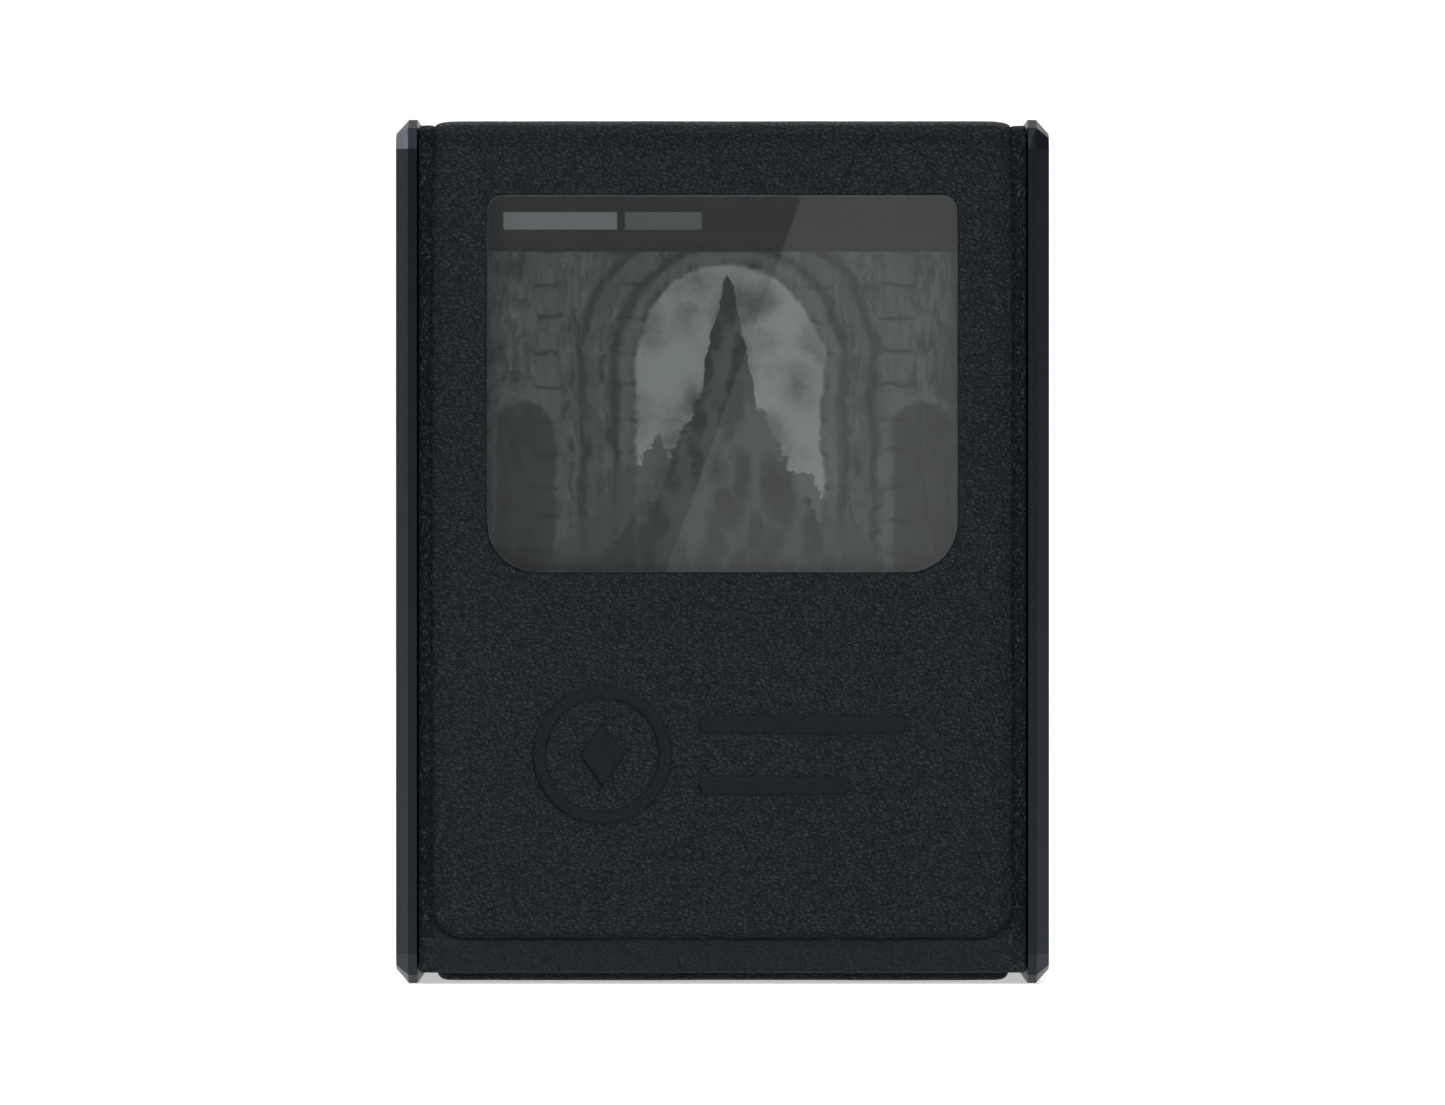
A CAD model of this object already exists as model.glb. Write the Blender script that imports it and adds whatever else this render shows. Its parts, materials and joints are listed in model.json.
"""Looks of the card deck box: leather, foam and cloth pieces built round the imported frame.

Lengths are in metres. MM turns a length in millimetres into metres. Every piece is placed
from the boxes of the CAD nodes.
"""
import json
import math

import bmesh
import bpy
import numpy as np
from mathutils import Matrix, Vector
from mathutils.geometry import delaunay_2d_cdt


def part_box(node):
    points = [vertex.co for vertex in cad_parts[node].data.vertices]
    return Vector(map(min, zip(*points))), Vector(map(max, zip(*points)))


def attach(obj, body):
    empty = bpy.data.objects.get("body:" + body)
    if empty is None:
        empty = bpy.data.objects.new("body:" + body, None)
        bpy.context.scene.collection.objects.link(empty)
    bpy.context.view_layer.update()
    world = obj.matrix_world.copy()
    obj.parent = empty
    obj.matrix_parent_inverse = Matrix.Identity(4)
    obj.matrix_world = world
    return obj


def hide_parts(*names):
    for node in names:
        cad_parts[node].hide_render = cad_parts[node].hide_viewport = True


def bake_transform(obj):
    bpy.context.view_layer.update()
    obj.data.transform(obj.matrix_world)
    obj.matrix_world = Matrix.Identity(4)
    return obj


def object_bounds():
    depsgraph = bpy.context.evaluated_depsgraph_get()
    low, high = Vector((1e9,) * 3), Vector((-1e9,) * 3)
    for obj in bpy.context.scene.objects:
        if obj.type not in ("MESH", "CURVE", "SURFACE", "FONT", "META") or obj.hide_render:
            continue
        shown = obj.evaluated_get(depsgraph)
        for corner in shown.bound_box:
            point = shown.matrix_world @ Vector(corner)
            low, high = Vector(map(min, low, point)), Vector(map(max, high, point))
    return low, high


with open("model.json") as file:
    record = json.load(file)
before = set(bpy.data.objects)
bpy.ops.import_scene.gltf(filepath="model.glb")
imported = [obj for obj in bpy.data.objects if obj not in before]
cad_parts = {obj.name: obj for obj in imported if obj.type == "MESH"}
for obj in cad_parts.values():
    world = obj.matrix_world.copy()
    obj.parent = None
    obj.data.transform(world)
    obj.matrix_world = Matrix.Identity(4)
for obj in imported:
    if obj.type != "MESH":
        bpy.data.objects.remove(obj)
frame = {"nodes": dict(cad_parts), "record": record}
cad_low, cad_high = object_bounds()

MM = 0.001


# ---- Sizes, from the boxes of the CAD nodes ----

flap_low, flap_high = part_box("flap_leather")
lid_low, lid_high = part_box("lid_leather")
back_low, back_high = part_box("back_wall_leather")
base_low, base_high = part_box("base_leather")
fold_low, fold_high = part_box("front_hinge_leather")
lens_low, lens_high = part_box("window_lens")
card_low, card_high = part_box("display_card")
spacer_low, spacer_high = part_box("pocket_spacer")

SKIN = 0.7 * MM                 # thickness of the cover's leather
PAD_RISE = 0.55 * MM            # height of the cover's raised panels
SHOULDER = 0.8 * MM             # how quickly a raised panel reaches its height
FOLD_Y = -fold_high.y           # how far the centre lines of the two folds lie from the middle
FOLD_Z = fold_low.z             # height of those centre lines
FOLD_R = fold_high.z - fold_low.z - PAD_RISE
FOLD_LENGTH = FOLD_R * math.pi / 2
COVER_HALF = flap_high.x + 0.15 * MM        # soft leather fills out towards the side plates
LID_LENGTH = 2 * FOLD_Y
PAD_HALF = 36.3 * MM            # half width of the flap's raised panel
PAD_HALF_TOP = 36.0 * MM        # half width of the raised panel from the fold onwards
PAD_LOW_Z = 5.7 * MM            # bottom edge of the raised panels on the flap and the back
PAD_CORNER = 4 * MM
PLATE_SIDE = 35 * MM            # the leather farther out than this lies beside the side plates
FOAM_FILL = 0.85                # how much of a panel's height the foam under it fills
EDGE_R = 0.35 * MM              # how far the leather's turned edges are rounded
LINING = 0.5 * MM               # thickness of the hinge linings
FOLD_LOW_Y = -FOLD_Y - FOLD_R + SKIN + LINING + 0.02 * MM     # front of the room inside the fold
BASE_RISE = 1.35 * MM           # height of the base's raised panel
BASE_SHOULDER = 0.4 * MM
BASE_INSET = 0.8 * MM           # border round the base's raised panel, front and back
BASE_PLAY = SKIN / 14           # gap at the sides of the base's leather
BACK_START = FOLD_LENGTH + LID_LENGTH       # where the back fold starts along the cover
BACK_END = BACK_START + FOLD_LENGTH

LENS_FLANGE = 1.5 * MM
WINDOW_X = lens_high.x - LENS_FLANGE
WINDOW_LOW_R = 6.3 * MM
WINDOW_HIGH_R = 1.9 * MM
WINDOW = ((-WINDOW_X, lens_low.z + LENS_FLANGE), (WINDOW_X, lens_high.z - LENS_FLANGE),
          WINDOW_LOW_R, WINDOW_HIGH_R)
WINDOW_EDGE = 0.32 * MM         # how far the leather's edge round the window is rounded

EMBLEM_X = -15 * MM
EMBLEM_Z = 28.6 * MM
EMBLEM_R = 8.7 * MM
EMBLEM_LINE = 1.7 * MM
LOZENGE = (2.9 * MM, 4.1 * MM)
BAR_X = -3 * MM
BAR_LENGTHS = (26 * MM, 19 * MM)
BAR_HEIGHT = 2.4 * MM
BAR_PITCH = 7.6 * MM
EMBLEM_DEPTH = 0.1 * MM


# ---- Small numeric helpers ----

def smooth(low, high, value):
    """0 below low, 1 above high and an S-curve between."""
    t = np.clip((value - low) / (high - low), 0, 1)
    return t * t * (3 - 2 * t)


def value_noise(u, v, size, seed):
    """Smooth noise between -1 and 1 whose features are about size across."""
    table = np.random.default_rng(seed).uniform(-1, 1, (64, 64))
    a, b = u / size + 512, v / size + 512
    i, j = np.floor(a).astype(int), np.floor(b).astype(int)
    fa, fb = smooth(0, 1, a - i), smooth(0, 1, b - j)
    near = table[i % 64, j % 64] * (1 - fb) + table[i % 64, (j + 1) % 64] * fb
    far = table[(i + 1) % 64, j % 64] * (1 - fb) + table[(i + 1) % 64, (j + 1) % 64] * fb
    return near * (1 - fa) + far * fa


def rect_inside(u, v, low, high, r_low, r_high):
    """Distance inside a rectangle with rounded corners, negative outside it."""
    middle = ((low[0] + high[0]) / 2, (low[1] + high[1]) / 2)
    r = np.where(v < middle[1], r_low, r_high)
    qu = np.abs(u - middle[0]) - (high[0] - low[0]) / 2 + r
    qv = np.abs(v - middle[1]) - (high[1] - low[1]) / 2 + r
    return r - np.hypot(np.maximum(qu, 0), np.maximum(qv, 0)) - np.minimum(np.maximum(qu, qv), 0)


def spaced(start, end, step):
    """Evenly spaced values from start to end, no more than step apart."""
    return np.linspace(start, end, max(2, int(math.ceil(abs(end - start) / step)) + 1))


def rect_outline(low, high, r_low, r_high, step):
    """Points round a rectangle with rounded corners, about step apart."""
    corners = [((high[0] - r_low, low[1] + r_low), r_low, -90),
               ((high[0] - r_high, high[1] - r_high), r_high, 0),
               ((low[0] + r_high, high[1] - r_high), r_high, 90),
               ((low[0] + r_low, low[1] + r_low), r_low, 180)]
    points = []
    for (cx, cy), r, start in corners:
        count = max(2, int(math.ceil(r * math.pi / 2 / step)) + 1)
        for a in np.radians(np.linspace(start, start + 90, count)):
            points.append((cx + r * math.cos(a), cy + r * math.sin(a)))
    loop = []
    for p, q in zip(points, points[1:] + points[:1]):
        pieces = max(1, int(math.ceil(math.dist(p, q) / step)))
        loop += [(p[0] + (q[0] - p[0]) * k / pieces, p[1] + (q[1] - p[1]) * k / pieces)
                 for k in range(pieces)]
    return np.array(loop)


def rect_rings(low, high, r_low, r_high, offsets, step):
    """Outlines of the same rectangle grown by each of the offsets."""
    rings = []
    for o in offsets:
        rings.append(rect_outline((low[0] - o, low[1] - o), (high[0] + o, high[1] + o),
                                  max(r_low + o, 0.02 * MM), max(r_high + o, 0.02 * MM), step))
    return np.concatenate(rings)


def circle_rings(centre, radii, step):
    """Circles of points round a centre, about step apart."""
    rings = []
    for r in radii:
        a = np.linspace(0, 2 * math.pi, int(2 * math.pi * r / step) + 1)[:-1]
        rings.append(np.stack([centre[0] + r * np.cos(a), centre[1] + r * np.sin(a)], 1))
    return np.concatenate(rings)


def background(low, high, step, features, clearance):
    """A grid of points between low and high, leaving out those close to a feature's points."""
    gu, gv = np.meshgrid(spaced(low[0], high[0], step), spaced(low[1], high[1], step))
    points = np.stack([gu.ravel(), gv.ravel()], 1)
    taken = set()
    for a, b in np.floor(features / clearance).astype(int):
        taken.update((a + i, b + j) for i in (-1, 0, 1) for j in (-1, 0, 1))
    keep = [tuple(k) not in taken for k in np.floor(points / clearance).astype(int)]
    return points[np.array(keep)]


def triangulate(points, inside):
    """Delaunay triangles over the points whose middle is inside, with the points they use."""
    flat = [Vector((p[0] / MM, p[1] / MM)) for p in points]
    made = delaunay_2d_cdt(flat, [], [], 0, 1e-5, False)
    points = np.array([tuple(p) for p in made[0]]) * MM
    faces = np.array(made[2])
    middles = points[faces].mean(1)
    faces = faces[inside(middles[:, 0], middles[:, 1])]
    used, index = np.unique(faces, return_inverse=True)
    return points[used], index.reshape(faces.shape)


def grid(us, vs):
    """Points and quads of a grid."""
    gu, gv = np.meshgrid(us, vs)
    points = np.stack([gu.ravel(), gv.ravel()], 1)
    n = len(us)
    faces = [(j * n + i, j * n + i + 1, (j + 1) * n + i + 1, (j + 1) * n + i)
             for j in range(len(vs) - 1) for i in range(n - 1)]
    return points, np.array(faces)


# ---- Making pieces ----

def make_object(name, vertices, faces, material):
    """A smooth-shaded object whose faces all point outwards."""
    mesh = bpy.data.meshes.new(name)
    mesh.from_pydata([tuple(map(float, v)) for v in vertices], [],
                     [tuple(map(int, f)) for f in faces])
    turned = bmesh.new()
    turned.from_mesh(mesh)
    bmesh.ops.recalc_face_normals(turned, faces=turned.faces)
    turned.to_mesh(mesh)
    turned.free()
    mesh.materials.append(material)
    mesh.polygons.foreach_set("use_smooth", [True] * len(mesh.polygons))
    mesh.set_sharp_from_angle(angle=math.radians(62))
    piece = bpy.data.objects.new(name, mesh)
    bpy.context.scene.collection.objects.link(piece)
    return piece


def set_attribute(piece, name, values):
    """A number for every vertex, which the material reads."""
    attribute = piece.data.attributes.new(name, "FLOAT", "POINT")
    full = np.zeros(len(piece.data.vertices), np.float32)
    full[:len(values)] = values
    attribute.data.foreach_set("value", full)


def boundary_edges(faces):
    """Directed edges that only one face has."""
    edges = {}
    for face in faces:
        for a, b in zip(face, np.roll(face, -1)):
            key = (min(a, b), max(a, b))
            edges[key] = None if key in edges else (a, b)
    return [e for e in edges.values() if e is not None]


def shell(name, points, faces, outer, inner, material, skirt=None):
    """A closed skin. outer and inner give the two surfaces over the flat points. skirt takes the
    rim's flat points and their places on the two surfaces, and gives the rings of vertices that
    the rim's sides run through on their way from one surface to the other."""
    top, bottom = outer(points), inner(points)
    n = len(points)
    rim = boundary_edges(faces)
    rim_points = sorted({i for edge in rim for i in edge})
    rings = skirt(points[rim_points], top[rim_points], bottom[rim_points]) if skirt else []
    place = {p: k for k, p in enumerate(rim_points)}
    chain = [lambda i: i]
    for k in range(len(rings)):
        chain.append(lambda i, start=2 * n + k * len(rim_points): start + place[i])
    chain.append(lambda i: n + i)
    all_faces = [tuple(f) for f in faces] + [tuple(n + i for i in f[::-1]) for f in faces]
    for a, b in rim:
        for upper, lower in zip(chain, chain[1:]):
            all_faces.append((upper(b), upper(a), lower(a), lower(b)))
    return make_object(name, np.concatenate([top, bottom, *rings]), all_faces, material)


def turned_rim(above, below, turned, axis, depth):
    """The two rings of a turned edge: the rims of both surfaces, moved to depth where turned."""
    rings = [above.copy(), below.copy()]
    for ring in rings:
        ring[:, axis] = np.where(turned, depth, ring[:, axis])
    return rings


def edge_steps(radius, angles):
    """Distances from a rounded edge at which the surface has turned through the angles."""
    return [radius * (1 - math.sin(math.radians(a))) for a in angles]


# ---- Node helpers for materials ----

class Graph:
    """A short way to write a material's nodes."""

    def __init__(self, name):
        self.material = bpy.data.materials.new(name)
        self.material.use_nodes = True
        self.tree = self.material.node_tree
        self.shader = self.tree.nodes["Principled BSDF"]
        self.output = self.tree.nodes["Material Output"]

    def add(self, kind, inputs=(), **settings):
        node = self.tree.nodes.new(kind)
        for key, value in settings.items():
            setattr(node, key, value)
        for key, value in dict(inputs).items():
            self.put(node.inputs[key], value)
        return node

    def put(self, socket, value):
        if isinstance(value, bpy.types.NodeSocket):
            self.tree.links.new(value, socket)
        else:
            socket.default_value = value

    def math(self, operation, a, b=0.0):
        return self.add("ShaderNodeMath", {0: a, 1: b, 2: 0.0}, operation=operation).outputs[0]

    def times(self, a, b):
        return self.math("MULTIPLY", a, b)

    def plus(self, a, b):
        return self.math("ADD", a, b)

    def minus(self, a, b):
        return self.math("SUBTRACT", a, b)

    def larger(self, a, b):
        return self.math("MAXIMUM", a, b)

    def absolute(self, a):
        return self.math("ABSOLUTE", a)

    def total(self, first, *others):
        """Sum of (value, weight) pairs."""
        found = self.times(*first)
        for pair in others:
            found = self.plus(found, self.times(*pair))
        return found

    def step(self, low, high, value, to_low=0.0, to_high=1.0):
        """Smooth change from to_low to to_high as value goes from low to high."""
        inputs = {"Value": value, "From Min": low, "From Max": high, "To Min": to_low,
                  "To Max": to_high}
        return self.add("ShaderNodeMapRange", inputs, interpolation_type="SMOOTHSTEP").outputs[0]

    def vector(self, operation, a, b):
        return self.add("ShaderNodeVectorMath", {0: a, 1: b}, operation=operation).outputs[0]

    def stretch(self, vector, factors):
        return self.vector("MULTIPLY", vector, factors)

    def position(self):
        """Place on the object in the shared frame, in millimetres."""
        point = self.add("ShaderNodeTexCoord").outputs["Object"]
        return self.stretch(point, (1.0 / MM,) * 3)

    def split(self, vector):
        node = self.add("ShaderNodeSeparateXYZ", {0: vector})
        return node.outputs[0], node.outputs[1], node.outputs[2]

    def join(self, x=0.0, y=0.0, z=0.0):
        return self.add("ShaderNodeCombineXYZ", {0: x, 1: y, 2: z}).outputs[0]

    def noise(self, vector, scale, detail=2.0, roughness=0.5, distortion=0.0, colour=False):
        inputs = {"Vector": vector, "Scale": scale, "Detail": detail, "Roughness": roughness,
                  "Distortion": distortion}
        return self.add("ShaderNodeTexNoise", inputs).outputs[1 if colour else 0]

    def warp(self, vector, scale, amount):
        """The vector pushed about by noise, by up to amount."""
        noise = self.noise(vector, scale, 2.0, colour=True)
        push = self.vector("SUBTRACT", noise, (0.5, 0.5, 0.5))
        return self.vector("ADD", vector, self.stretch(push, (2 * amount,) * 3))

    def cells(self, vector, scale, feature="DISTANCE_TO_EDGE"):
        inputs = {"Vector": vector, "Scale": scale, "Randomness": 1.0}
        return self.add("ShaderNodeTexVoronoi", inputs, feature=feature).outputs["Distance"]

    def mix(self, factor, a, b, blend_type="MIX"):
        node = self.add("ShaderNodeMix", data_type="RGBA", blend_type=blend_type, clamp_factor=True)
        self.put(node.inputs[0], factor)
        for socket, value in ((node.inputs[6], a), (node.inputs[7], b)):
            self.put(socket, value if isinstance(value, bpy.types.NodeSocket) else (*value, 1.0))
        return node.outputs[2]

    def attribute(self, name):
        return self.add("ShaderNodeAttribute", attribute_name=name).outputs["Fac"]

    def bump(self, height, distance, strength=1.0):
        inputs = {"Height": height, "Distance": distance, "Strength": strength}
        return self.add("ShaderNodeBump", inputs).outputs[0]

    def finish(self, **sockets):
        for key, value in sockets.items():
            name = key.replace("_", " ")
            if isinstance(value, tuple) and len(value) == 3:
                value = (*value, 1.0)
            self.put(self.shader.inputs[name], value)
        return self.material


# ---- Materials ----

LEATHER_COLOUR = (0.0105, 0.0130, 0.0148)
LEATHER_PRESSED = (0.0042, 0.0056, 0.0070)
LEATHER_CRUSHED = (0.0800, 0.0860, 0.0900)
LEATHER_CALM = (0.0088, 0.0100, 0.0110)


def leather_material():
    """Black coated leather with a wrinkled grain, smoother where the emblem is pressed in and
    crumpled where it dips beside the side plates."""
    g = Graph("leather")
    point = g.position()
    press, crush, calm, seam = (g.attribute(name) for name in ("press", "crush", "calm", "seam"))
    x, y, z = g.split(g.warp(point, 0.5, 0.5))
    slanted = g.join(x, g.plus(y, g.times(x, 0.3)), g.plus(z, g.times(x, 0.3)))
    wrinkle = g.stretch(slanted, (1.0, 2.3, 2.3))
    pebble = g.step(0.0, 0.3, g.cells(wrinkle, 1.15))
    small = g.step(0.0, 0.3, g.cells(g.stretch(g.warp(point, 1.3, 0.3), (1.0, 1.5, 1.5)), 2.7))
    ridge = g.noise(wrinkle, 1.5, 3.0, 0.6, 0.5)
    swell = g.noise(point, 0.3, 3.0, 0.55)
    grain = g.total((pebble, 0.5), (small, 0.16), (ridge, 1.5), (g.noise(point, 8.0, 2.0, 0.6), 0.1))
    knots = g.noise(g.stretch(g.warp(point, 0.9, 0.5), (2.6, 2.2, 1.7)), 1.0, 4.0, 0.65, 0.8)
    folds = g.cells(g.stretch(g.warp(point, 0.9, 0.6), (1.35, 1.2, 0.95)), 2.0)
    ruck = g.step(0.0, 0.3, folds)
    crumple = g.total((knots, 3.4), (ruck, 1.3))
    grain = g.plus(grain, g.times(crumple, crush))
    grain = g.plus(grain, g.times(swell, 0.8))
    kept = g.minus(1.0, g.times(g.larger(press, g.times(calm, 0.6)), 0.86))
    height = g.times(grain, kept)
    depth = g.total((pebble, 0.42), (ridge, 0.75), (small, 0.1))
    valley, crest = (tuple(factor * c for c in LEATHER_COLOUR) for factor in (0.08, 2.1))
    worn = g.mix(g.step(0.4, 0.86, depth), valley, crest)
    worn = g.mix(g.times(calm, 0.75), worn, LEATHER_CALM)
    pits = g.larger(g.step(0.5, 0.42, knots), g.step(0.4, 0.1, ruck))
    worn = g.mix(g.times(crush, g.step(0.5, 0.6, knots)), worn, LEATHER_CRUSHED)
    worn = g.mix(g.times(g.times(crush, pits), 0.92), worn, (0.0008, 0.001, 0.0012))
    worn = g.mix(g.times(seam, g.step(0.3, 0.62, knots, 0.95, 0.5)), worn, (0.0006, 0.0008, 0.001))
    colour = g.mix(press, worn, LEATHER_PRESSED)
    rough = g.plus(g.step(0.3, 0.95, depth, 0.56, 0.3), g.times(crush, 0.1))
    rough = g.plus(rough, g.times(calm, 0.12))
    rough = g.plus(rough, g.times(g.larger(press, seam), 0.22))
    return g.finish(Base_Color=colour, Roughness=rough, Specular_IOR_Level=0.26,
                    Specular_Tint=(0.80, 0.92, 1.0), Normal=g.bump(height, 0.42 * MM, 1.0))


def plate_material():
    """Blue-black moulded plastic with a fine eroded texture."""
    g = Graph("plate_plastic")
    point = g.position()
    erode = g.noise(point, 7.0, 3.0, 0.65)
    cloud = g.noise(point, 0.12, 3.0, 0.6)
    colour = g.mix(cloud, (0.0030, 0.0042, 0.0066), (0.0046, 0.0060, 0.0092))
    rough = g.step(0.3, 0.7, g.noise(point, 0.9, 3.0, 0.6), 0.3, 0.4)
    return g.finish(Base_Color=colour, Roughness=rough, Specular_IOR_Level=0.3,
                    Specular_Tint=(0.78, 0.88, 1.0), Normal=g.bump(erode, 0.012 * MM, 0.6))


def cloth_material():
    """Brushed microfibre: short fibres lying in patches."""
    g = Graph("lining")
    point = g.position()
    lay = g.noise(g.warp(point, 0.25, 1.5), 0.6, 4.0, 0.65)
    fibre = g.noise(g.stretch(g.warp(point, 1.2, 0.35), (9.0, 3.0, 3.5)), 1.0, 4.0, 0.7)
    tone = g.total((lay, 0.6), (fibre, 0.5))
    colour = g.mix(g.step(0.3, 0.8, tone), (0.028, 0.03, 0.034), (0.075, 0.08, 0.088))
    height = g.plus(fibre, g.times(lay, 0.7))
    return g.finish(Base_Color=colour, Roughness=0.92, Specular_IOR_Level=0.2, Sheen_Weight=0.35,
                    Sheen_Roughness=0.45, Normal=g.bump(height, 0.09 * MM, 0.9))


def board_material():
    """Grey recycled board: flecks and a soft fibrous surface."""
    g = Graph("greyboard")
    point = g.position()
    fibre = g.noise(g.stretch(g.warp(point, 0.6, 0.8), (1.0, 3.0, 3.0)), 1.4, 5.0, 0.65)
    fleck = g.step(0.1, 0.03, g.cells(point, 0.8, "F1"))
    colour = g.mix(g.step(0.3, 0.7, fibre), (0.20, 0.19, 0.17), (0.31, 0.30, 0.27))
    colour = g.mix(g.times(fleck, 0.6), colour, (0.07, 0.065, 0.06))
    return g.finish(Base_Color=colour, Roughness=0.9, Specular_IOR_Level=0.2,
                    Normal=g.bump(fibre, 0.06 * MM, 0.8))


def foam_material():
    """Dark open-cell foam."""
    g = Graph("foam")
    point = g.position()
    pore = g.cells(g.warp(point, 1.0, 0.3), 2.2, "F1")
    fine = g.cells(point, 5.5, "F1")
    height = g.plus(g.step(0.1, 0.6, pore), g.times(fine, 0.5))
    colour = g.mix(g.step(0.1, 0.5, pore), (0.018, 0.019, 0.02), (0.09, 0.092, 0.096))
    return g.finish(Base_Color=colour, Roughness=0.95, Specular_IOR_Level=0.15,
                    Normal=g.bump(height, 0.12 * MM))


def metal_material(name, colour, rough_low, rough_high, stretch):
    """Metal with fine marks left by its making."""
    g = Graph(name)
    point = g.position()
    marks = g.noise(g.stretch(point, stretch), 6.0, 3.0, 0.6)
    stain = g.noise(point, 0.8, 3.0, 0.6)
    tint = g.mix(stain, tuple(0.8 * c for c in colour), colour)
    rough = g.step(0.3, 0.7, marks, rough_low, rough_high)
    return g.finish(Base_Color=tint, Metallic=1.0, Roughness=rough,
                    Normal=g.bump(marks, 0.006 * MM, 0.5))


def clear_material(name, tint, mirror, rough, haze, edge_haze):
    """Thin clear plastic: it lets light straight through, mirrors a little, more at a slant, and
    has a faint haze that is stronger on its cut edges."""
    g = Graph(name)
    g.tree.nodes.remove(g.shader)
    point = g.position()
    smear = g.step(0.5, 0.8, g.noise(g.warp(point, 0.05, 8.0), 0.08, 4.0, 0.6), rough, rough * 1.5)
    clear = g.add("ShaderNodeBsdfTransparent", {"Color": (*tint, 1.0)})
    gloss = g.add("ShaderNodeBsdfGlossy", {"Color": (1.0, 1.0, 1.0, 1.0), "Roughness": smear})
    veil = g.add("ShaderNodeBsdfDiffuse", {"Color": (0.5, 0.51, 0.52, 1.0)})
    face = g.absolute(g.split(g.add("ShaderNodeTexCoord").outputs["Normal"])[1])
    cloud = g.step(0.97, 0.8, face, haze, edge_haze)
    hazy = g.add("ShaderNodeMixShader", {0: cloud, 1: clear.outputs[0], 2: veil.outputs[0]})
    slant = g.add("ShaderNodeLayerWeight", {"Blend": 0.5}).outputs["Facing"]
    mirrored = g.plus(mirror, g.times(g.math("POWER", slant, 5.0), 1.0 - mirror))
    both = g.add("ShaderNodeMixShader", {0: mirrored, 1: hazy.outputs[0], 2: gloss.outputs[0]})
    g.put(g.output.inputs[0], both.outputs[0])
    return g.material


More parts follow.
